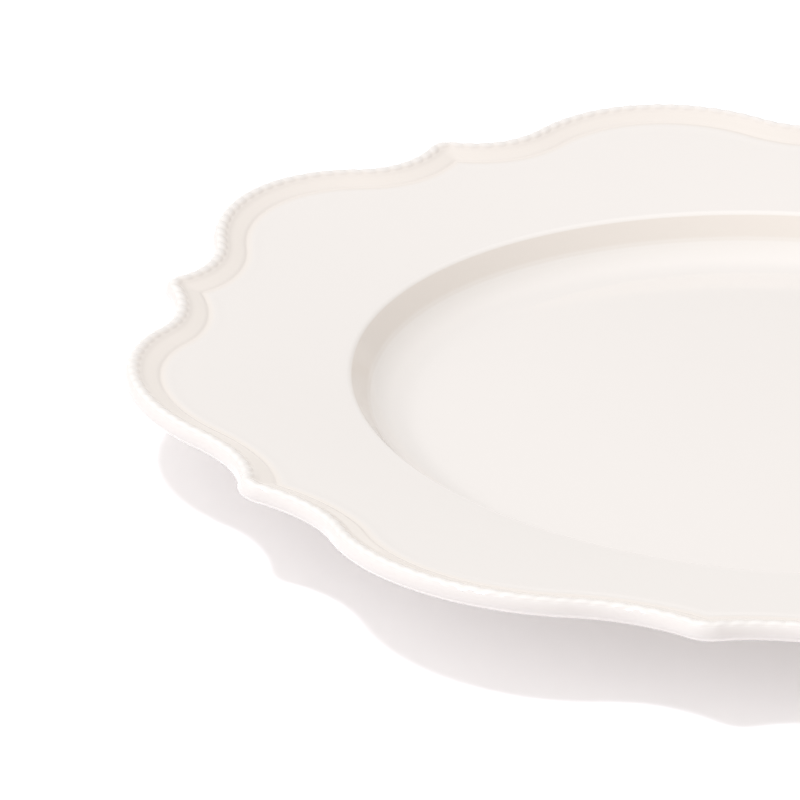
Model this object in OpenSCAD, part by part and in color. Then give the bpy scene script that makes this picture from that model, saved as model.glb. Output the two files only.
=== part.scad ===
// Scalloped china serving platter with a pearl-beaded rim.
// The origin is the centre of the foot, on the plane the platter rests on; +Z is up.
// One lobe of the outline lies along +X, and the points between lobes lie half a bay round.
// The china body is drawn as bands that meet face to face, from the well out to the lip.

/* [Outline] */
// Overall width across two opposite lobes
platter_w = 310; // [306:1:316]
// Number of bays round the rim, each one lobe between two points
bays = 8; // [8]
// Reach of the small points from the centre, along the bead row
point_reach = 146.7; // [146.1:0.2:147.3]
// Radius of each broad lobe, along the bead row
lobe_r = 44.5; // [42.5:1:46.5]
// Radius of the hollow on each side of a point
hollow_r = 30.5; // [28.5:1:32.5]
// Radius of the rounded point itself
point_r = 4.7; // [4.3:0.2:5.3]

/* [Well] */
// Radius of the flat floor of the well
well_r = 86; // [82:1:87]
// Radius of the cove between the floor and the wall
cove_r = 16.5; // [14:0.5:18]
// Steepest slope of the wall, in degrees
wall_slope = 50; // [44:1:54]
// Length of the straight stretch of the wall, up the slope
wall_run = 4.9; // [4.3:0.2:5.5]
// Radius of the rounded shoulder at the top of the wall
shoulder_r = 2.5; // [2:0.1:3]
// Radius of the fillet underneath the shoulder
under_r = 2; // [1:0.5:3]

/* [Body] */
// Thickness of the floor, the wall and the shoulder
body_t = 4; // [3.6:0.1:4.4]
// Thickness of the marly where it meets the rim
rim_t = 3; // [2.8:0.1:3.2]
// Upward slope of the marly, in degrees
marly_slope = 9.6; // [8.5:0.1:10.5]

/* [Foot] */
// Height of the underside of the floor above the table
foot_h = 1.6; // [1.4:0.1:2.2]
// Middle radius of the foot ring
foot_r = 86.5; // [86:0.5:87]
// Width of the flat that the platter rests on
foot_flat = 2.6; // [2:0.2:3]
// Width of the foot ring where it joins the body
foot_root = 6; // [5:0.5:6.5]

/* [Rim] */
// Distance from the bead row to the outer face of the lip
lip_out = 2.25; // [2.1:0.05:2.4]
// Distance from the bead row to the inner edge of its seat
seat_in = 1.6; // [1.5:0.1:1.8]
// Distance from the bead row to the step down to the marly
channel_in = 4.6; // [4:0.2:5.2]
// Distance from the bead row to the edge of the plain marly
step_in = 10; // [9.2:0.2:10.8]
// Height of the bead seat above the line of the marly
seat_h = 1; // [0.8:0.1:1.2]
// Height of the foot of the channel above the line of the marly
channel_h = 0.4; // [0.2:0.05:0.5]
// Beads in each bay
beads_per_bay = 32; // [28:1:33]
// Half the width of a bead, across the rim
bead_r = 1.4; // [1.2:0.05:1.5]
// Half the length of a bead, along the rim
bead_l = 1.7; // [1.5:0.05:1.75]
// Height of a bead above its seat
bead_h = 0.65; // [0.5:0.05:0.8]

/* [Hidden] */
$fn = 180;
GLAZE = [0.955, 0.94, 0.92];
BISQUE = [0.88, 0.85, 0.8];

floor_z = foot_h + body_t;
lobe_reach = platter_w / 2 - lip_out;
half_bay = 180 / bays;
arc_steps = 10;     // chords in each curve of a turned profile
bay_steps = 12;     // stations along half a bay of a swept band
crowding = 1.3;     // draws the stations closer together towards a point

// Turned profile: the point where the cove, the shoulder or the fillet under it has the slope s
function facing(s) = [-sin(s), cos(s)];
function on_cove(s, d) = [well_r, floor_z + cove_r] - (cove_r + d) * facing(s);
shoulder_c = on_cove(wall_slope, 0) + wall_run * [cos(wall_slope), sin(wall_slope)]
    - shoulder_r * facing(wall_slope);
under_c = shoulder_c - (body_t + under_r - shoulder_r) * (facing(wall_slope) + facing(marly_slope))
    / (1 + cos(wall_slope - marly_slope));
function on_shoulder(s) = shoulder_c + shoulder_r * facing(s);
function under_shoulder(s) = under_c + under_r * facing(s);
function between(a, b, n) = [for (i = [0 : n]) a + (b - a) * i / n];

// The marly is one cone; every band of the rim is drawn at a height above it
marly_edge = on_shoulder(marly_slope);
function marly_z(r) = marly_edge.y + (r - marly_edge.x) * tan(marly_slope);

// Half a bay of the outline is three arcs that run into each other: lobe, hollow and point
lobe_c = [lobe_reach - lobe_r, 0];
point_c = (point_reach - point_r) * [cos(half_bay), sin(half_bay)];
to_point = point_c - lobe_c;
span = norm(to_point);
ahead = to_point / span;
along = (pow(lobe_r + hollow_r, 2) - pow(point_r + hollow_r, 2)) / (2 * span) + span / 2;
across = sqrt(pow(lobe_r + hollow_r, 2) - pow(along, 2));
hollow_c = lobe_c + along * ahead + across * [ahead.y, -ahead.x];
lobe_turn = atan2(hollow_c.y - lobe_c.y, hollow_c.x - lobe_c.x);
point_start = atan2(hollow_c.y - point_c.y, hollow_c.x - point_c.x);
mitre_off = hollow_c.x * sin(half_bay) - hollow_c.y * cos(half_bay);

// The hollow's arc ends at the point's own arc or, further in, on the line through the point
function hollow_end(d) =
    d < point_r ? 180 + point_start : half_bay + 180 - asin(mitre_off / (hollow_r + d));
function lobe_len(d) = (lobe_r - d) * lobe_turn;
function hollow_len(d) = (hollow_r + d) * (lobe_turn + 180 - hollow_end(d));
function point_len(d) = max(point_r - d, 0) * (half_bay - point_start);
function polar(c, r, a) = c + r * [cos(a), sin(a)];

// A place on the curve that lies d inside the bead row, at the fraction u of half a bay's length
function half_bay_at(u, d) =
    let (
        s = u * (lobe_len(d) + hollow_len(d) + point_len(d)),
        t = s - lobe_len(d),
        v = t - hollow_len(d))
    t <= 0 ? polar(lobe_c, lobe_r - d, s / (lobe_r - d))
    : v <= 0 ? polar(hollow_c, hollow_r + d, lobe_turn + 180 - t / (hollow_r + d))
    : polar(point_c, point_r - d, point_start + v / (point_r - d));
function bay_at(u, d) =
    let (p = half_bay_at(abs(u), d))
    u < 0 ? [p.x, -p.y] : p;
function turned(p, a) = [p.x * cos(a) - p.y * sin(a), p.x * sin(a) + p.y * cos(a)];

// Stations round the whole rim, as [bay, u], with u running from -1 at one point to 1 at the next
function graded(t) = sign(t) * (1 - pow(1 - abs(t), crowding));
STATIONS = [for (bay = [0 : bays - 1], k = [1 : 2 * bay_steps]) [bay, graded(k / bay_steps - 1)]];

// A place on the rim: d inside the bead row and h above the line of the marly
function rim_point(station, d, h) =
    let (p = turned(bay_at(station[1], d), 2 * half_bay * station[0]))
    [p.x, p.y, marly_z(norm(p)) + h];
// A place on a circle, facing the same station of the rim
function turned_point(station, d, edge) =
    let (p = turned(bay_at(station[1], d), 2 * half_bay * station[0]))
    [edge.x * p.x / norm(p), edge.x * p.y / norm(p), edge.y];

// A closed band through rings of points, one ring for each corner of its section
module band(rings) {
    n = len(STATIONS);
    function at(ring, station) = (ring % len(rings)) * n + station % n;
    polyhedron(
        points = [for (ring = rings) each ring],
        faces = [for (j = [0 : len(rings) - 1], k = [0 : n - 1]) each [
            [at(j, k), at(j, k + 1), at(j + 1, k + 1)],
            [at(j, k), at(j + 1, k + 1), at(j + 1, k)]]],
        convexity = 6);
}

// A band whose section, a list of [d, h] corners, keeps its distance from the bead row
module rim_band(section) {
    band([for (corner = section) [for (s = STATIONS) rim_point(s, corner[0], corner[1])]]);
}

module well_floor() {
    color(GLAZE)
        translate([0, 0, foot_h])
            cylinder(r = well_r, h = body_t);
}

module foot_ring() {
    root_in = foot_r - foot_root / 2;
    root_out = foot_r + foot_root / 2;
    root_slope = asin((root_out - well_r) / (cove_r + body_t));
    ease = 0.35;    // rounds the edges of the flat that meets the table
    color(BISQUE)
        rotate_extrude()
            polygon(concat(
                [[root_in, foot_h], [foot_r - foot_flat / 2 - ease, ease], [foot_r - foot_flat / 2, 0]],
                [[foot_r + foot_flat / 2, 0], [foot_r + foot_flat / 2 + ease, ease]],
                [for (s = between(root_slope, 0, 4)) on_cove(s, body_t)]));
}

module well_wall() {
    color(GLAZE)
        rotate_extrude()
            polygon(concat(
                [for (s = between(0, wall_slope, arc_steps)) on_cove(s, 0)],
                [on_shoulder(wall_slope), under_shoulder(wall_slope)],
                [for (s = between(wall_slope, 0, arc_steps)) on_cove(s, body_t)]));
}

module shoulder() {
    color(GLAZE)
        rotate_extrude()
            polygon(concat(
                [for (s = between(wall_slope, marly_slope, arc_steps)) on_shoulder(s)],
                [for (s = between(marly_slope, wall_slope, arc_steps)) under_shoulder(s)]));
}

module marly() {
    under_edge = under_shoulder(marly_slope);
    color(GLAZE)
        band([
            [for (s = STATIONS) rim_point(s, step_in, 0)],
            [for (s = STATIONS) turned_point(s, step_in, marly_edge)],
            [for (s = STATIONS) turned_point(s, step_in, under_edge)],
            [for (s = STATIONS) rim_point(s, step_in, -rim_t)]]);
}

module rim_step() {
    dip = 0.1;      // the step runs down just below the marly before it rises to it
    color(GLAZE)
        rim_band([
            [channel_in, channel_h],
            [channel_in, -rim_t],
            [step_in, -rim_t],
            [step_in, 0],
            [step_in - 3, -dip],
            [channel_in + 1.3, 0]]);
}

module rim_channel() {
    color(GLAZE)
        rim_band([
            [seat_in, seat_h],
            [seat_in, -rim_t],
            [channel_in, -rim_t],
            [channel_in, channel_h],
            [seat_in + 1, seat_h - 0.2]]);
}

module lip() {
    color(GLAZE)
        rim_band([
            [seat_in, seat_h],
            [-bead_r, seat_h],
            [-lip_out + 0.2, seat_h - 0.3],
            [-lip_out, seat_h - 0.8],
            [-lip_out, -0.9],
            [-lip_out + 0.4, -1.7],
            [-lip_out + 1.3, -2.3],
            [seat_in, -rim_t]]);
}

// One bead: a low dome with a flat base, drawn out along the rim
module bead() {
    ball_r = (bead_r * bead_r + bead_h * bead_h) / (2 * bead_h);
    edge = asin(bead_r / ball_r);
    scale([1, bead_l / bead_r, 1])
        rotate_extrude($fn = 36)
            polygon(concat(
                [[0, 0]],
                [for (a = between(edge, 0, 5)) ball_r * [sin(a), cos(a)] - [0, ball_r - bead_h]]));
}

// The beads of one bay, from the bead on its first point up to the one before its last
module bead_garland(bay) {
    color(GLAZE)
        for (i = [0 : beads_per_bay - 1]) {
            u = 2 * i / beads_per_bay - 1;
            p = rim_point([bay, u], 0, seat_h);
            along_rim = rim_point([bay, u + 0.001], 0, 0) - rim_point([bay, u - 0.001], 0, 0);
            outward = atan2(p.y, p.x);
            translate(p)
                rotate([0, -marly_slope, outward])
                    rotate(atan2(-along_rim.x, along_rim.y) - outward)
                        bead();
        }
}

well_floor();
foot_ring();
well_wall();
shoulder();
marly();
rim_step();
rim_channel();
lip();
bead_garland(0);  // beads_1
bead_garland(1);  // beads_2
bead_garland(2);  // beads_3
bead_garland(3);  // beads_4
bead_garland(4);  // beads_5
bead_garland(5);  // beads_6
bead_garland(6);  // beads_7
bead_garland(7);  // beads_8
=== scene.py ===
import math

import bpy
import numpy as np
from mathutils import Matrix, Vector


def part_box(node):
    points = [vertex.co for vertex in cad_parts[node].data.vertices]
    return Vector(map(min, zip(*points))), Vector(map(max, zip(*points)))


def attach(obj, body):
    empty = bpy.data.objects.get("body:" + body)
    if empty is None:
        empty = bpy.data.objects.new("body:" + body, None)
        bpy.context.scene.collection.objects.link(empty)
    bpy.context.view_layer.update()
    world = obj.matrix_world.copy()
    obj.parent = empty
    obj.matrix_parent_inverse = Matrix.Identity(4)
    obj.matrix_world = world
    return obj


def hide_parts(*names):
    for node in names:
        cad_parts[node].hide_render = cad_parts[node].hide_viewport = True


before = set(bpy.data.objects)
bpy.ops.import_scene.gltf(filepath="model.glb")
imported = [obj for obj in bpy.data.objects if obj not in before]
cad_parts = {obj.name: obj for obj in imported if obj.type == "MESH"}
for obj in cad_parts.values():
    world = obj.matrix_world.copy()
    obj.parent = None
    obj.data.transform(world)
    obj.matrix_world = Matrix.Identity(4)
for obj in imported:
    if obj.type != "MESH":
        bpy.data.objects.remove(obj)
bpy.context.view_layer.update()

# ---------------------------------------------------------------- sizes, in millimetres
# Places and sizes that a node's box gives are read from the frame; the rest repeat part.scad.
MM = 0.001
well_lo, well_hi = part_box("well_floor")
foot_lo, foot_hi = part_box("foot_ring")
lip_lo, lip_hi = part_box("lip")
WELL_R = well_hi.x / MM
FLOOR_Z = well_hi.z / MM
FOOT_H = well_lo.z / MM
BODY_T = FLOOR_Z - FOOT_H
FOOT_ROOT_OUT = foot_hi.x / MM
OUTER = lip_hi.x / MM

BAYS, HALF_BAY = 8, math.pi / 8
POINT_REACH, LOBE_R, HOLLOW_R, POINT_R = 146.7, 44.5, 30.5, 4.7
COVE_R, WALL_SLOPE, WALL_RUN = 16.5, math.radians(50), 4.9
SHOULDER_R, UNDER_R = 2.5, 2.0
MARLY_SLOPE, RIM_T = math.radians(9.6), 3.0
FOOT_R, FOOT_ROOT = 86.5, 6.0
LIP_OUT, STEP_IN = 2.25, 10.0
BEADS_PER_BAY, BEAD_R, BEAD_H = 32, 1.4, 0.5
LOBE_REACH = OUTER - LIP_OUT

FINE, MID, COARSE = 4096, 2048, 512     # stations round the bead row, the rim and the well

# ---------------------------------------------------------------- the outline
LOBE_C = np.array([LOBE_REACH - LOBE_R, 0.0])
ON_POINT = np.array([math.cos(HALF_BAY), math.sin(HALF_BAY)])
POINT_C = (POINT_REACH - POINT_R) * ON_POINT
to_point = POINT_C - LOBE_C
span = np.hypot(*to_point)
ahead = to_point / span
along = ((LOBE_R + HOLLOW_R) ** 2 - (POINT_R + HOLLOW_R) ** 2) / (2 * span) + span / 2
across = math.sqrt((LOBE_R + HOLLOW_R) ** 2 - along ** 2)
HOLLOW_C = LOBE_C + along * ahead + across * np.array([ahead[1], -ahead[0]])
LOBE_TURN = math.atan2(HOLLOW_C[1] - LOBE_C[1], HOLLOW_C[0] - LOBE_C[0])
MITRE_OFF = abs(HOLLOW_C[0] * ON_POINT[1] - HOLLOW_C[1] * ON_POINT[0])
MITRE_ALONG = HOLLOW_C @ ON_POINT
TIP_EXACT, TIP_LEAST = 2.0, 1.5         # inside this offset the point's radius eases to its least


def tip_radius(d):
    """The radius of the point on the curve that lies d inside the bead row."""
    if d <= TIP_EXACT:
        return POINT_R - d
    room = POINT_R - TIP_EXACT - TIP_LEAST
    return TIP_LEAST + room * math.exp((TIP_EXACT - d) / room)


def polar(centre, radius, angle):
    """Places on a circle at the given angles."""
    return np.stack([centre[0] + radius * np.cos(angle), centre[1] + radius * np.sin(angle)], -1)


def bay_curve(u, d):
    """Places on the curve d inside the bead row; u runs from -1 at one point to 1 at the next."""
    tip = tip_radius(d)
    reach = HOLLOW_R + d + tip
    tip_c = (MITRE_ALONG - math.sqrt(reach ** 2 - MITRE_OFF ** 2)) * ON_POINT
    tip_start = math.atan2(HOLLOW_C[1] - tip_c[1], HOLLOW_C[0] - tip_c[0])
    arcs = ((LOBE_C, LOBE_R - d, 0.0, LOBE_TURN),
            (HOLLOW_C, HOLLOW_R + d, LOBE_TURN + math.pi, math.pi + tip_start),
            (tip_c, tip, tip_start, HALF_BAY))
    lengths = [r * abs(b - a) for _, r, a, b in arcs]
    s = np.abs(u) * sum(lengths)
    out = np.zeros((len(s), 2))
    start = 0.0
    for (centre, r, a, b), length in zip(arcs, lengths):
        here = s >= start - 1e-9
        t = np.clip((s[here] - start) / length, 0, 1)
        out[here] = polar(centre, r, a + (b - a) * t)
        start += length
    out[:, 1] *= np.where(u < 0, -1, 1)
    return out


def stations(n):
    """The bay number and the place u along the bay of n stations round the rim."""
    k = np.arange(n)
    per = n // BAYS
    return k // per, -1 + 2 * (k % per) / per


def rim_curve(d, n):
    """The whole curve that lies d inside the bead row, as n places."""
    bay, u = stations(n)
    p = bay_curve(u, d)
    turn = 2 * HALF_BAY * bay
    c, s = np.cos(turn), np.sin(turn)
    return np.stack([p[:, 0] * c - p[:, 1] * s, p[:, 0] * s + p[:, 1] * c], -1)


# ---------------------------------------------------------------- the turned profile
def facing(slope):
    """The way a surface faces, in [r, z], where it rises outward at this slope."""
    return np.array([-math.sin(slope), math.cos(slope)])


def on_cove(slope, depth):
    """The place on the cove where it has this slope, or on the curve this far beneath it."""
    return np.array([WELL_R, FLOOR_Z + COVE_R]) - (COVE_R + depth) * facing(slope)


SHOULDER_C = (on_cove(WALL_SLOPE, 0) + WALL_RUN * facing(WALL_SLOPE - math.pi / 2)
              - SHOULDER_R * facing(WALL_SLOPE))
UNDER_C = (SHOULDER_C - (BODY_T + UNDER_R - SHOULDER_R) * (facing(WALL_SLOPE) + facing(MARLY_SLOPE))
           / (1 + math.cos(WALL_SLOPE - MARLY_SLOPE)))


def on_shoulder(slope):
    """The place on the shoulder's roll where it has this slope."""
    return SHOULDER_C + SHOULDER_R * facing(slope)


def under_shoulder(slope):
    """The place on the fillet beneath the shoulder where it has this slope."""
    return UNDER_C + UNDER_R * facing(slope)


MARLY_R, MARLY_Z = on_shoulder(MARLY_SLOPE)


def marly_z(r):
    """The height of the marly's surface, carried on to any radius."""
    return MARLY_Z + (r - MARLY_R) * math.tan(MARLY_SLOPE)


# ---------------------------------------------------------------- rows of points
# A row is a closed curve round the platter: a function of the number of stations, and that number.
# The skin is every row in order, from the middle of the well over the rim to the middle of the
# underside, so that neighbours meet on the same points with the same normals.
rng = np.random.default_rng(11)
BEAD_SPREAD = 0.03                      # how unlike in height the beads are, as a share
BEAD_SIZE = 1 + BEAD_SPREAD * rng.standard_normal(BAYS * BEADS_PER_BAY).clip(-2, 2)
BALL_R = (BEAD_R ** 2 + BEAD_H ** 2) / (2 * BEAD_H)
BEAD_IN = 0.05                          # how far the beads' crown lies inside their row
NOTCH, NOTCH_SHAPE = 0.16, 1.4          # depth between two beads, and how suddenly they fall to it
SOFT = 0.02                             # how widely a bead's foot runs into its seat


def bead_height(d, n):
    """Height above the seat, d inside the bead row: a low roll, notched between the beads."""
    m = BAYS * BEADS_PER_BAY
    k = np.arange(n) * m / n
    near = np.rint(k).astype(int)
    roll = math.sqrt(max(BALL_R ** 2 - (d - BEAD_IN) ** 2, 0)) - (BALL_R - BEAD_H)
    gap = 0.5 - 0.5 * np.cos(2 * math.pi * (k - near))
    h = roll * BEAD_SIZE[near % m] - NOTCH * gap ** NOTCH_SHAPE
    return 0.5 * (h + np.sqrt(h ** 2 + SOFT))


# ---------------------------------------------------------------- glaze pooling and painted shade
# Two values on each point set the glaze's tone. One is how fast the surface curls up, with more in
# the channel, and darkens hollows as partly glaze pooling, partly painted shade;
# the other is how far the surface leans from the level, and paints shade on the well wall and on
# the lip's upright edge.
RIM_STEEP = 1 - math.cos(MARLY_SLOPE)   # the whole rim takes the tone of the marly's slope
LIP_SHADE = 0.3                         # and how much painted shade darkens the lip's upright edge
WELL_EDGE = 1.0                         # past the marly's inner edge the rim's values hold
POOL_SHADE = 1.1                              # how much the channel darkens: glaze pooling and painted shade
POOL_SHADE_START, POOL_SHADE_RISE = 8.2, 1.6        # it darkens outward from the step, over this width
POOL_SHADE_END, POOL_SHADE_FALL = -0.3, 1.3         # and is gone again on the crown of the beads
POOL_SHADE_LOWEST = -0.5                      # rows further below the line of the marly hold none
pooled_shade = {}                             # how much each rim row darkens, from 0 to 1


def clamp(value):
    return min(max(value, 0), 1)


def rim_row(d, h, n, beads=False):
    """A row d inside the bead row, h above the line of the marly."""
    def at(n):
        p = rim_curve(d, n)
        z = marly_z(np.hypot(*p.T)) + h
        if beads:
            z = z + bead_height(d, n)
        return np.column_stack([p, z])
    # the channel's darkening, partly glaze pooling, partly painted shade
    if h > POOL_SHADE_LOWEST:
        pooled_shade[at] = (clamp((POOL_SHADE_START - d) / POOL_SHADE_RISE)
                      * clamp((d - POOL_SHADE_END) / POOL_SHADE_FALL))
    return at, n


def marly_row(t, n, depth=0.0):
    """A row of the marly, or of its underside: t is 0 at the step and 1 at the shoulder."""
    edge_r, edge_z = on_shoulder(MARLY_SLOPE) if depth == 0 else under_shoulder(MARLY_SLOPE)
    drop = 0.0 if depth == 0 else -RIM_T

    def at(n):
        p = rim_curve(STEP_IN, n)
        r = np.hypot(*p.T)
        outer = np.column_stack([p, marly_z(r) + drop])
        inner = np.column_stack([p * (edge_r / r)[:, None], np.full(n, edge_z)])
        return outer + (inner - outer) * t
    return at, n


def round_row(r, z, n):
    """A circle of radius r at height z, its stations in line with those of the rim."""
    def at(n):
        p = rim_curve(STEP_IN, n)
        return np.column_stack([p * (r / np.hypot(*p.T))[:, None], np.full(n, z)])
    return at, n


def spread(a, b, n):
    """The values from a to b in n even steps."""
    return [a + (b - a) * i / n for i in range(n + 1)]


def flowing(corners, per):
    """A smooth line through corners [d, h], with per steps from each corner to the next."""
    c = np.array(corners, float)
    c = np.vstack([2 * c[0] - c[1], c, 2 * c[-1] - c[-2]])
    out = []
    for a, b, e, f in zip(c, c[1:], c[2:], c[3:]):
        gap = [max(np.hypot(*(q - p)), 1e-6) ** 0.5 for p, q in ((a, b), (b, e), (e, f))]
        m1 = (e - b) + gap[1] * ((b - a) / gap[0] - (e - a) / (gap[0] + gap[1]))
        m2 = (e - b) + gap[1] * ((f - e) / gap[2] - (f - b) / (gap[1] + gap[2]))
        for i in range(per):
            t = i / per
            out.append((2 * t ** 3 - 3 * t ** 2 + 1) * b + (t ** 3 - 2 * t ** 2 + t) * m1
                       + (3 * t ** 2 - 2 * t ** 3) * e + (t ** 3 - t ** 2) * m2)
    out.append(c[-2])
    return [tuple(p) for p in out]


# the rim's section, as corners [inside the bead row, above the line of the marly]
STEP = [(STEP_IN, 0), (9.2, 0.02), (8.4, 0.05), (7.7, 0.05), (7.0, 0.0), (6.5, -0.07),
        (6.2, -0.09), (5.9, -0.03), (5.6, 0.08), (5.2, 0.19), (4.6, 0.29)]
CHANNEL = [(4.6, 0.29), (3.8, 0.42), (3.0, 0.54), (2.4, 0.67), (2.0, 0.8), (1.6, 0.93)]
SEAT = [(1.6, 0.93), (1.3, 0.98), (0.6, 1.0), (0, 1.0), (-0.6, 0.98), (-1.1, 0.87), (-1.45, 0.62)]
LIP = [(-1.45, 0.62), (-1.75, 0.24), (-2.0, -0.25), (-2.17, -0.75), (-2.25, -1.3), (-2.14, -1.8),
       (-1.8, -2.25), (-1.2, -2.6), (-0.4, -2.83), (0.6, -2.96), (1.6, -RIM_T)]
BED = [(-1.0, 0.4), (1.3, 0.4)]       # the hidden joint between the beads and the lip
FOOT_SIDE = [(3.0, 1.9), (2.4, 1.42), (2.0, 0.95), (1.75, 0.5), (1.55, 0.2), (1.2, 0.03),
             (0.9, 0.0)]              # [beyond the middle of the foot ring, above the table]

# faint rings left by turning, where the cove meets the wall: the slope there and their height
RIDGES = ((46, 0.009), (42, 0.007), (38, 0.005))
RIDGED, RIDGE_W = math.radians(33), 1.3     # rows lie closer from this slope on; width in degrees


def ridge(slope):
    """How far the turning rings lift the cove at one of its slopes."""
    return sum(h * math.exp(-((math.degrees(slope) - at) / RIDGE_W) ** 2) for at, h in RIDGES)


skin, marks = [], {}


def add(rows, mark=None):
    """Adds rows to the skin; mark names the last of them."""
    skin.extend(rows)
    if mark:
        marks[mark] = len(skin) - 1


def stations_at(r):
    """How many stations a circle needs: fewer towards the middle."""
    return 64 if r < 10 else 128 if r < 22 else 256 if r < 44 else COARSE


# the top: floor, cove, shoulder, marly, step, channel, bead seat
add([round_row(r, FLOOR_Z, stations_at(r)) for r in (0.5, 2, 4, 6, 8)])
add([round_row(r, FLOOR_Z, stations_at(r)) for r in np.linspace(10, WELL_R, 39)], "floor_edge")
add([round_row(*on_cove(s, 0), COARSE) for s in spread(0, RIDGED, 14)[1:]])
add([round_row(*on_cove(s, -ridge(s)), COARSE) for s in spread(RIDGED, WALL_SLOPE, 30)[1:]])
add([round_row(*on_shoulder(WALL_SLOPE), COARSE)], "wall_top")
add([round_row(*on_shoulder(s), COARSE) for s in spread(WALL_SLOPE, MARLY_SLOPE, 44)[1:]],
    "marly_in")
add([marly_row(t, COARSE) for t in spread(1, 0.34, 16)[1:]])
add([marly_row(t, 2 * COARSE) for t in (0.28, 0.22, 0.16)])
add([marly_row(t, MID) for t in (0.11, 0.07, 0.03)])
add([rim_row(d, h, MID) for d, h in flowing(STEP, 3)[:1]], "step_in")
add([rim_row(d, h, MID) for d, h in flowing(STEP, 3)[1:]], "channel_in")
add([rim_row(d, h, MID) for d, h in flowing(CHANNEL, 3)[1:-4]])
add([rim_row(d, h, FINE, beads=True) for d, h in flowing(CHANNEL, 3)[-4:]], "seat_in")
add([rim_row(d, h, FINE, beads=True) for d, h in flowing(SEAT, 3)[1:]], "seat_out")
# round the lip and back underneath
add([rim_row(d, h, FINE, beads=True) for d, h in flowing(LIP, 3)[1:3]])
add([rim_row(d, h, MID) for d, h in flowing(LIP, 3)[3:]], "under_lip")
add([rim_row(d, -RIM_T, MID) for d in (3.1, 4.6)], "under_channel")
add([rim_row(d, -RIM_T, MID) for d in (7.3, STEP_IN)], "under_step")
add([marly_row(t, 2 * COARSE, BODY_T) for t in (0.08, 0.18)])
add([marly_row(t, COARSE, BODY_T) for t in spread(0.28, 1, 10)], "under_marly")
add([round_row(*under_shoulder(s), COARSE) for s in spread(MARLY_SLOPE, WALL_SLOPE, 8)[1:]],
    "under_shoulder")
FOOT_SLOPE = math.asin((FOOT_ROOT_OUT - WELL_R) / (COVE_R + BODY_T))
add([round_row(*on_cove(s, BODY_T), COARSE) for s in spread(WALL_SLOPE, FOOT_SLOPE, 14)],
    "foot_out")
add([round_row(FOOT_R + x, z, COARSE) for x, z in flowing(FOOT_SIDE, 2)[1:]], "flat_out")
add([round_row(FOOT_R + x, 0.0, COARSE) for x in (0.3, -0.3)])
# inside the ring the same profile is only as high as the underside of the well
add([round_row(FOOT_R - x, z * FOOT_H / FOOT_SIDE[0][1], COARSE)
     for x, z in flowing(FOOT_SIDE, 2)[:0:-1]])
# past the two rows of the flat and the first of the inner side
marks["flat_in"] = marks["flat_out"] + 3
add([round_row(FOOT_R - FOOT_ROOT / 2, FOOT_H, COARSE)], "foot_in")
add([round_row(r, FOOT_H, stations_at(r)) for r in np.linspace(80, 10, 15)])
add([round_row(r, FOOT_H, stations_at(r)) for r in (8, 6, 4, 2, 0.5)])

row_points = [at(n) for at, n in skin]


def away(i, step):
    """The points of the next row in one direction, at this row's own stations."""
    j = i + step
    if not 0 <= j < len(skin):
        return None
    return skin[j][0](skin[i][1])


def blend_slope(ahead, behind):
    """The direction of a curve at a point, from the steps to the points on either side of it."""
    a = np.linalg.norm(ahead, axis=1, keepdims=True)
    b = np.linalg.norm(behind, axis=1, keepdims=True)
    return ahead * (b / a) + behind * (a / b)


def bend(ahead, behind, normal):
    """How fast the surface curls up towards its normal along a line of three points, in 1/mm."""
    a = np.linalg.norm(ahead, axis=1)
    b = np.linalg.norm(behind, axis=1)
    lift = (ahead / a[:, None] - behind / b[:, None])
    return (lift * normal).sum(1) / (0.5 * (a + b))


row_normals, row_hollow = [], []
for i, p in enumerate(row_points):
    right = np.roll(p, -1, axis=0) - p
    left = p - np.roll(p, 1, axis=0)
    out, back = away(i, 1), away(i, -1)
    fore = (out - p) if out is not None else p - back
    aft = (p - back) if back is not None else fore
    normal = np.cross(blend_slope(fore, aft), blend_slope(right, left))
    normal /= np.linalg.norm(normal, axis=1, keepdims=True)
    row_normals.append(normal)
    # curvature plus the channel's darkening: glaze pooling and painted shade
    row_hollow.append(bend(fore, aft, normal) + bend(right, left, normal)
                      + POOL_SHADE * pooled_shade.get(skin[i][0], 0))


# ---------------------------------------------------------------- pieces from rows
def hidden(d, h, n=MID):
    """The points of a row that lies inside the china, between two pieces."""
    return rim_row(d, h, n)[0](n)


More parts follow.
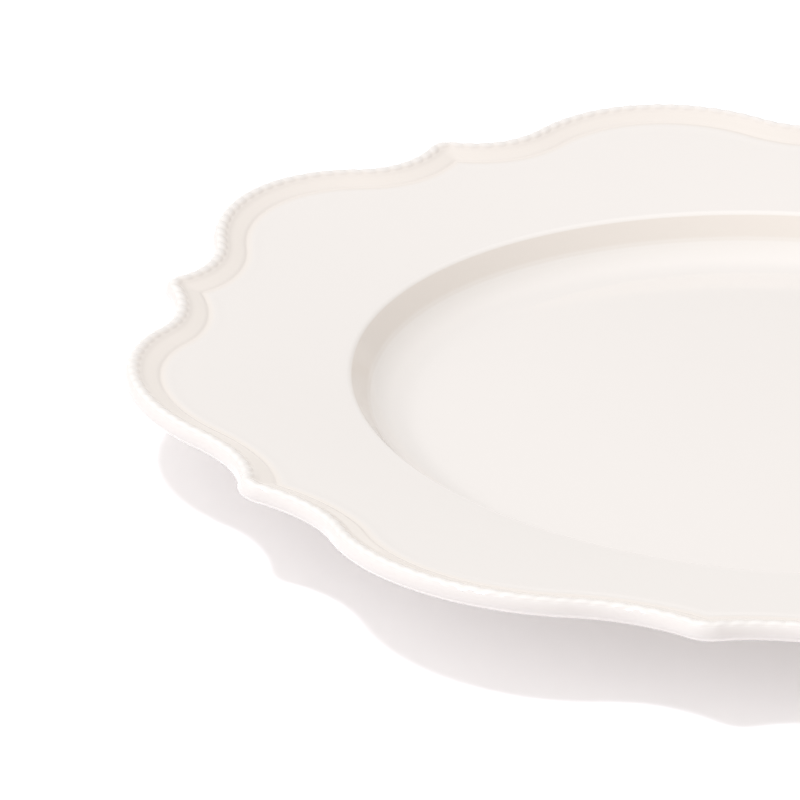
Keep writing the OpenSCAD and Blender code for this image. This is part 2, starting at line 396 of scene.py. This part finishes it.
class Build:
    """Collects rows and the strips between them as one closed piece."""

    def __init__(self, sector=None):
        self.sector = sector
        self.points, self.shade, self.hollow, self.steep = [], [], [], []
        self.faces, self.smooth, self.mats = [], [], []
        self.count = 0

    def cut(self, values):
        """All of a row, or only the stations of this piece's own bay."""
        if self.sector is None:
            return values
        n = len(values)
        lead = n // (2 * BAYS * BEADS_PER_BAY)
        first = self.sector * n // BAYS - lead
        return values[(first + np.arange(n // BAYS + 1)) % n]

    def row(self, points, normals=None, hollow=None):
        """Adds a row; without normals it is a hidden one, between flat faces."""
        points = self.cut(points)
        flat = np.zeros_like(points)
        self.points.append(points)
        self.shade.append(flat if normals is None else self.cut(normals))
        self.hollow.append(np.zeros(len(points)) if hollow is None else self.cut(hollow))
        # painted shade: on the well wall by its steepness, and on the lip's upright edge
        in_well = np.hypot(points[:, 0], points[:, 1]) < MARLY_R + WELL_EDGE
        steep = 1 - np.abs(self.shade[-1][:, 2])
        self.steep.append(np.where(in_well, steep, RIM_STEEP - LIP_SHADE * steep))
        ids = self.count + np.arange(len(points))
        self.count += len(points)
        return ids

    def strip(self, a, b, smooth, mat=0):
        """Faces between two rows; one may have twice as many stations as the other."""
        ring = self.sector is None
        if len(a) == len(b):
            a2, b2 = (np.roll(a, -1), np.roll(b, -1)) if ring else (a[1:], b[1:])
            if not ring:
                a, b = a[:-1], b[:-1]
            new = np.stack([a, b, b2, a2], 1).tolist()
        elif len(a) > len(b):
            new = self.fan(b, a, flip=True)
        else:
            new = self.fan(a, b, flip=False)
        self.faces += new
        self.smooth += [smooth] * len(new)
        self.mats += [mat] * len(new)

    def fan(self, few, many, flip):
        """Triangles between a row and one with twice as many stations."""
        ring = self.sector is None
        if ring:
            c, c2 = few, np.roll(few, -1)
            f0, f1, f2 = many[0::2], many[1::2], np.roll(many[0::2], -1)
        else:
            c, c2 = few[:-1], few[1:]
            f0, f1, f2 = many[0:-1:2], many[1::2], many[2::2]
        tris = [np.stack(t, 1) for t in ((c, f0, f1), (c, f1, c2), (c2, f1, f2))]
        tris = np.concatenate(tris)
        return (tris[:, ::-1] if flip else tris).tolist()

    def skin(self, first, last, mats=None):
        """The rows of the skin from one to another, joined by smooth strips."""
        ids = [self.row(row_points[i], row_normals[i], row_hollow[i])
               for i in range(first, last + 1)]
        for k, (a, b) in enumerate(zip(ids, ids[1:])):
            self.strip(a, b, True, 0 if mats is None else mats(first + k))
        return ids

    def chain(self, *ids):
        """Joins rows in order by flat, hidden strips."""
        for a, b in zip(ids, ids[1:]):
            self.strip(a, b, False)

    def pole(self, ids, up, z):
        """Closes a small ring of points with a point at its middle."""
        mid = self.row(np.array([[0, 0, z]]), np.array([[0, 0, 1.0 if up else -1.0]]),
                       np.zeros(1))[0]
        a, b = ids, np.roll(ids, -1)
        order = (np.full(len(a), mid), a, b) if up else (np.full(len(a), mid), b, a)
        new = np.stack(order, 1).tolist()
        self.faces += new
        self.smooth += [True] * len(new)
        self.mats += [0] * len(new)

    def ends(self, loop):
        """Closes both ends of a sector with the outline of its section."""
        for at, order in ((0, 1), (-1, -1)):
            self.faces.append([int(ids[at]) for ids in loop][::order])
            self.smooth.append(False)
            self.mats.append(0)

    def finish(self, name, node, materials):
        """Makes the mesh, with its own normals, hangs it on the root body and hides the node it
        stands for.
        """
        points = np.concatenate(self.points) * MM
        shade = np.concatenate(self.shade)
        mesh = bpy.data.meshes.new(name)
        mesh.from_pydata(points.tolist(), [], self.faces)
        for m in materials:
            mesh.materials.append(m)
        mesh.polygons.foreach_set("material_index", self.mats)
        mesh.polygons.foreach_set("use_smooth", self.smooth)
        for attr, values in (("hollow", self.hollow), ("steep", self.steep)):
            attr = mesh.attributes.new(attr, "FLOAT", "POINT")
            attr.data.foreach_set("value", np.concatenate(values).astype(np.float32))
        # one normal for each corner: the skin's own, or the face's where two pieces meet
        total = np.zeros(len(mesh.polygons), np.int32)
        mesh.polygons.foreach_get("loop_total", total)
        face_n = np.zeros(len(mesh.polygons) * 3, np.float32)
        mesh.polygons.foreach_get("normal", face_n)
        face_n = np.repeat(face_n.reshape(-1, 3), total, axis=0)
        vert = np.zeros(len(mesh.loops), np.int32)
        mesh.loops.foreach_get("vertex_index", vert)
        is_skin = np.repeat(np.array(self.smooth), total)
        mesh.normals_split_custom_set(np.where(is_skin[:, None], shade[vert], face_n).tolist())
        piece = bpy.data.objects.new(name, mesh)
        bpy.context.scene.collection.objects.link(piece)
        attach(piece, "root")
        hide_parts(node)
        return piece


# ---------------------------------------------------------------- materials
def node_tree(name):
    """A new material, its nodes and links, and its shader."""
    material = bpy.data.materials.new(name)
    material.use_nodes = True
    nodes, links = material.node_tree.nodes, material.node_tree.links
    shader = nodes["Principled BSDF"]
    return material, nodes, links, shader


def noise(nodes, links, where, scale, detail=2.0):
    """A noise value, from 0 to 1, with scale patches to the metre."""
    n = nodes.new("ShaderNodeTexNoise")
    n.inputs["Scale"].default_value = scale
    n.inputs["Detail"].default_value = detail
    links.new(where, n.inputs["Vector"])
    return n.outputs["Fac"]


def ramp(nodes, links, value, stops):
    """A colour that follows a value through stops (place, colour)."""
    r = nodes.new("ShaderNodeValToRGB")
    r.color_ramp.interpolation = "EASE"
    while len(r.color_ramp.elements) < len(stops):
        r.color_ramp.elements.new(0.5)
    for e, (at, colour) in zip(r.color_ramp.elements, stops):
        e.position = at
        e.color = (*colour, 1)
    links.new(value, r.inputs["Fac"])
    return r.outputs["Color"]


def mix(nodes, links, factor, a, b, blend="MIX"):
    """Two colours blended; each input is a value or a socket."""
    m = nodes.new("ShaderNodeMix")
    m.data_type, m.blend_type = "RGBA", blend
    for value, socket in ((factor, m.inputs[0]), (a, m.inputs[6]), (b, m.inputs[7])):
        if isinstance(value, bpy.types.NodeSocket):
            links.new(value, socket)
        else:
            socket.default_value = value
    return m.outputs[2]


def maths(nodes, links, op, *values):
    """The result of a Math node; each input is a value or a socket."""
    m = nodes.new("ShaderNodeMath")
    m.operation = op
    for value, socket in zip(values, m.inputs):
        if isinstance(value, bpy.types.NodeSocket):
            links.new(value, socket)
        else:
            socket.default_value = value
    return m.outputs[0]


IVORY = (0.8290, 0.7870, 0.7600)
IVORY_LIGHT = (0.835, 0.793, 0.767)
# the tone of hollows and the channel: pooled glaze and painted shade
IVORY_POOL_SHADE = (0.830, 0.755, 0.692)
IVORY_PALE = (0.872, 0.845, 0.826)
# the painted shade of the steep well wall
IVORY_WALL_SHADE = (0.955, 0.925, 0.888)
# the tone of painted shade, by steepness plus the lip's share: the lip's upright edge,
# its roll, the level china, the cove, and the wall, where the painted shade is warmest
SLOPE_SHADE = [(0.0, (0.835, 0.820, 0.830)), (0.2, (0.887, 0.878, 0.885)), (0.314, (0.960,) * 3),
             (0.4, (1.0, 0.998, 0.995)), (0.55, (1.0, 0.998, 0.99)), (0.655, IVORY_WALL_SHADE)]
PIN = (0.42, 0.33, 0.26)
CLOUD_SCALE, WIPE_SCALE, RIPPLE_SCALE = 14.0, 30.0, 55.0        # patches to the metre
POOL_SHADE_GAIN, POOL_SHADE_SHARE = 0.45, 0.6       # how soon a hollow deepens the tone, by pooled glaze and painted shade, and how much
SPECK_CELLS, SPECK_RARITY, SPECK_STRENGTH = 42.0, 0.965, 0.45


def glaze_material():
    """Glossy ivory glaze, darker in hollows and the channel from glaze pooling and painted shade,
    with painted shade on the well wall and the lip's upright edge.
    """
    material, nodes, links, shader = node_tree("ivory_glaze")
    where = nodes.new("ShaderNodeTexCoord").outputs["Object"]
    # a faint unevenness of the glaze's tone
    cloud = noise(nodes, links, where, CLOUD_SCALE, 3.0)
    tone = ramp(nodes, links, cloud, [(0.3, IVORY), (0.7, IVORY_LIGHT)])
    # the glaze gathers in hollows and thins over edges and beads; the darkening in hollows and the
    # channel is partly painted shade
    hollow = nodes.new("ShaderNodeAttribute")
    hollow.attribute_name = "hollow"
    pool_shade_level = maths(nodes, links, "MULTIPLY_ADD", hollow.outputs["Fac"], POOL_SHADE_GAIN, 0.5)
    pool_shade_tone = ramp(nodes, links, pool_shade_level, [(0.0, IVORY_PALE), (0.5, IVORY), (1.0, IVORY_POOL_SHADE)])
    tone = mix(nodes, links, POOL_SHADE_SHARE, tone, pool_shade_tone)
    # painted shade: the steep wall darker and warmer, and the lip's upright edge darker
    steep = nodes.new("ShaderNodeAttribute")
    steep.attribute_name = "steep"
    slope_shade_at = maths(nodes, links, "ADD", steep.outputs["Fac"], LIP_SHADE)
    slope_shade_tone = ramp(nodes, links, slope_shade_at, SLOPE_SHADE)
    tone = mix(nodes, links, 1.0, tone, slope_shade_tone, "MULTIPLY")
    # sparse pin specks of iron in the body
    cells = nodes.new("ShaderNodeTexVoronoi")
    cells.inputs["Scale"].default_value = SPECK_CELLS
    links.new(where, cells.inputs["Vector"])
    split = nodes.new("ShaderNodeSeparateColor")
    links.new(cells.outputs["Color"], split.inputs["Color"])
    rare = maths(nodes, links, "GREATER_THAN", split.outputs["Red"], SPECK_RARITY)
    size = maths(nodes, links, "MULTIPLY_ADD", split.outputs["Green"], 0.010, 0.004)
    inside = maths(nodes, links, "LESS_THAN", cells.outputs["Distance"], size)
    there = maths(nodes, links, "MULTIPLY", rare, inside)
    speck = maths(nodes, links, "MULTIPLY", there, SPECK_STRENGTH)
    tone = mix(nodes, links, speck, tone, (*PIN, 1))
    links.new(tone, shader.inputs["Base Color"])
    # the gloss varies a little, as where a glaze was wiped or fired unevenly
    wipe = noise(nodes, links, where, WIPE_SCALE, 4.0)
    links.new(maths(nodes, links, "MULTIPLY_ADD", wipe, 0.05, 0.09), shader.inputs["Roughness"])
    shader.inputs["IOR"].default_value = 1.5
    shader.inputs["Coat Weight"].default_value = 0.3
    shader.inputs["Coat Roughness"].default_value = 0.05
    # the slow ripple of a fired glaze
    bump = nodes.new("ShaderNodeBump")
    bump.inputs["Strength"].default_value = 0.12
    bump.inputs["Distance"].default_value = 0.0006
    links.new(noise(nodes, links, where, RIPPLE_SCALE), bump.inputs["Height"])
    links.new(bump.outputs["Normal"], shader.inputs["Normal"])
    return material


def bisque_material():
    """The bare, ground clay of the foot."""
    material, nodes, links, shader = node_tree("bare_foot")
    where = nodes.new("ShaderNodeTexCoord").outputs["Object"]
    grain = noise(nodes, links, where, 900.0, 4.0)
    worn = noise(nodes, links, where, 60.0, 3.0)
    tone = ramp(nodes, links, worn, [(0.35, (0.70, 0.65, 0.58)), (0.7, (0.60, 0.54, 0.47))])
    grit = ramp(nodes, links, grain, [(0.3, (0.5, 0.45, 0.4)), (0.7, (0.85, 0.8, 0.74))])
    tone = mix(nodes, links, 0.25, tone, grit)
    links.new(tone, shader.inputs["Base Color"])
    links.new(maths(nodes, links, "MULTIPLY_ADD", grain, 0.2, 0.7), shader.inputs["Roughness"])
    bump = nodes.new("ShaderNodeBump")
    bump.inputs["Strength"].default_value = 0.4
    bump.inputs["Distance"].default_value = 0.0001
    links.new(grain, bump.inputs["Height"])
    links.new(bump.outputs["Normal"], shader.inputs["Normal"])
    return material


GLAZE, BISQUE = glaze_material(), bisque_material()
M = marks

# ---------------------------------------------------------------- the china, band by band
b = Build()
top = b.skin(0, M["floor_edge"])
under = b.row(round_row(WELL_R, FOOT_H, COARSE)[0](COARSE))
low = b.skin(M["foot_in"], len(skin) - 1)
b.chain(top[-1], under, low[0])
b.pole(top[0], True, FLOOR_Z)
b.pole(low[-1], False, FOOT_H)
b.finish("china_well_floor", "well_floor", [GLAZE])

# the foot ring's root lies against the floor and the wall
root = [round_row(WELL_R, FOOT_H, COARSE)[0](COARSE)]
root += [round_row(*on_cove(s, BODY_T), COARSE)[0](COARSE) for s in spread(0, FOOT_SLOPE, 3)[1:-1]]

b = Build()
ring = b.skin(M["foot_out"], M["foot_in"],
              mats=lambda i: 1 if M["flat_out"] - 2 <= i < M["flat_in"] + 2 else 0)
b.chain(ring[-1], *[b.row(p) for p in root], ring[0])
b.finish("china_foot_ring", "foot_ring", [GLAZE, BISQUE])

b = Build()
top = b.skin(M["floor_edge"], M["wall_top"])
low = b.skin(M["under_shoulder"], M["foot_out"])
b.chain(top[-1], low[0])
b.chain(low[-1], *[b.row(p) for p in root[::-1]], top[0])
b.finish("china_well_wall", "well_wall", [GLAZE])

for name, outer, inner, under_outer, under_inner in (
        ("shoulder", "marly_in", "wall_top", "under_marly", "under_shoulder"),
        ("marly", "step_in", "marly_in", "under_step", "under_marly"),
        ("rim_step", "channel_in", "step_in", "under_channel", "under_step"),
        ("rim_channel", "seat_in", "channel_in", "under_lip", "under_channel")):
    b = Build()
    top = b.skin(M[inner], M[outer])
    low = b.skin(M[under_outer], M[under_inner])
    b.chain(top[-1], low[0])
    b.chain(low[-1], top[0])
    b.finish("china_" + name, name, [GLAZE])

b = Build()
face = b.skin(M["seat_out"], M["under_lip"])
b.chain(face[-1], b.row(row_points[M["seat_in"]]), b.row(hidden(*BED[1])), b.row(hidden(*BED[0])),
        face[0])
b.finish("china_lip", "lip", [GLAZE])

for bay in range(BAYS):
    b = Build(sector=bay)
    top = b.skin(M["seat_in"], M["seat_out"])
    bed = [b.row(hidden(*p)) for p in BED]
    b.chain(top[-1], *bed, top[0])
    b.ends([*top, *bed])
    b.finish(f"china_beads_{bay + 1}", f"beads_{bay + 1}", [GLAZE])

# ---------------------------------------------------------------- floor, light, camera
FLOOR_R = 9.0
FLOOR_TONE, FLOOR_GLOW = (0.942, 0.935, 0.950), 0.178
# the key light: place round and above the piece in degrees, distance, size and power
KEY_AZ, KEY_EL, KEY_AWAY, KEY_SIZE, KEY_POWER = 215.0, 64.5, 1.6, 0.2, 11.7
KEY_COLOUR = (0.93, 1.0, 1.06)
# brightness of the studio round the piece, by the sine of the height above the horizon
STUDIO = [(0.0, 0.98), (0.06, 0.96), (0.14, 0.78), (0.34, 0.71), (0.5, 0.69), (0.64, 0.70),
          (0.77, 0.82), (0.9, 0.94), (1.0, 0.98)]
STUDIO_TINT = (1.02, 0.985, 0.95)
WINDOW_AZ, WINDOW_LEAN = 193.0, 0.27    # the side the studio is brighter on, and by how much
LEAN_RISE = 16.0                        # how soon above the horizon that begins


def floor_material():
    """A plain pale floor, lifted a little by its own glow."""
    material, nodes, links, shader = node_tree("pale_floor")
    where = nodes.new("ShaderNodeTexCoord").outputs["Object"]
    tone = ramp(nodes, links, noise(nodes, links, where, 3.0),
                [(0.3, FLOOR_TONE), (0.7, tuple(0.995 * c for c in FLOOR_TONE))])
    links.new(tone, shader.inputs["Base Color"])
    shader.inputs["Roughness"].default_value = 0.9
    shader.inputs["Specular IOR Level"].default_value = 0.0
    links.new(tone, shader.inputs["Emission Color"])
    shader.inputs["Emission Strength"].default_value = FLOOR_GLOW
    return material


bpy.ops.mesh.primitive_circle_add(vertices=128, radius=FLOOR_R, fill_type="NGON")
floor = bpy.context.object
floor.name = "studio_floor"
floor.data.materials.append(floor_material())

# The camera stands at the photograph's angle: its aim point lies on the height of the rim.
AIM = Vector((-0.09566, -0.01635, 0.02356))
AZIMUTH, ELEVATION, ROLL = map(math.radians, (-11.236, 23.99, 1.2476))
CAMERA_AWAY, LENS = 1.05828, 214.37
forward = Vector((-math.sin(AZIMUTH) * math.cos(ELEVATION), math.cos(AZIMUTH) * math.cos(ELEVATION),
                  -math.sin(ELEVATION)))
right = forward.cross(Vector((0, 0, 1))).normalized()
up = right.cross(forward)
cam_x = math.cos(ROLL) * right + math.sin(ROLL) * up
cam_y = math.cos(ROLL) * up - math.sin(ROLL) * right
camera_data = bpy.data.cameras.new("camera")
camera_data.lens, camera_data.sensor_width = LENS, 36.0
camera_data.clip_start, camera_data.clip_end = 0.05, 60.0
camera = bpy.data.objects.new("camera", camera_data)
bpy.context.scene.collection.objects.link(camera)
place = Matrix((cam_x, cam_y, -forward)).transposed().to_4x4()
place.translation = AIM - forward * CAMERA_AWAY
camera.matrix_world = place
bpy.context.scene.camera = camera

# The key stands to the left of the camera; its azimuth is measured from the camera's right.
key_az = math.atan2(right.y, right.x) + math.radians(KEY_AZ)
key_el = math.radians(KEY_EL)
to_key = Vector((math.cos(key_az) * math.cos(key_el), math.sin(key_az) * math.cos(key_el),
                 math.sin(key_el)))
key_data = bpy.data.lights.new("key", "AREA")
key_data.shape, key_data.size, key_data.energy = "DISK", KEY_SIZE, KEY_POWER
key_data.color = KEY_COLOUR
key = bpy.data.objects.new("key", key_data)
bpy.context.scene.collection.objects.link(key)
key.location = to_key * KEY_AWAY
key.rotation_mode = "QUATERNION"
key.rotation_quaternion = to_key.to_track_quat("Z", "Y")

world = bpy.data.worlds.new("studio")
bpy.context.scene.world = world
world.use_nodes = True
nodes, links = world.node_tree.nodes, world.node_tree.links
background = nodes["Background"]
look = nodes.new("ShaderNodeTexCoord").outputs["Generated"]
split = nodes.new("ShaderNodeSeparateXYZ")
links.new(look, split.inputs["Vector"])
sky = ramp(nodes, links, split.outputs["Z"],
           [(z, tuple(level * t for t in STUDIO_TINT)) for z, level in STUDIO])
links.new(sky, background.inputs["Color"])
# the horizon is as bright all round; above it one side is brighter than the other
window_az = math.atan2(right.y, right.x) + math.radians(WINDOW_AZ)
towards = nodes.new("ShaderNodeVectorMath")
towards.operation = "DOT_PRODUCT"
towards.inputs[1].default_value = (math.cos(window_az), math.sin(window_az), 0)
links.new(look, towards.inputs[0])
above = maths(nodes, links, "MULTIPLY", split.outputs["Z"], LEAN_RISE)
above.node.use_clamp = True
lean = maths(nodes, links, "MULTIPLY", towards.outputs["Value"], above)
strength = maths(nodes, links, "MULTIPLY_ADD", lean, WINDOW_LEAN, 1.0)
links.new(strength, background.inputs["Strength"])

bpy.context.scene.view_settings.view_transform = "Standard"
bpy.context.scene.view_settings.look = "None"
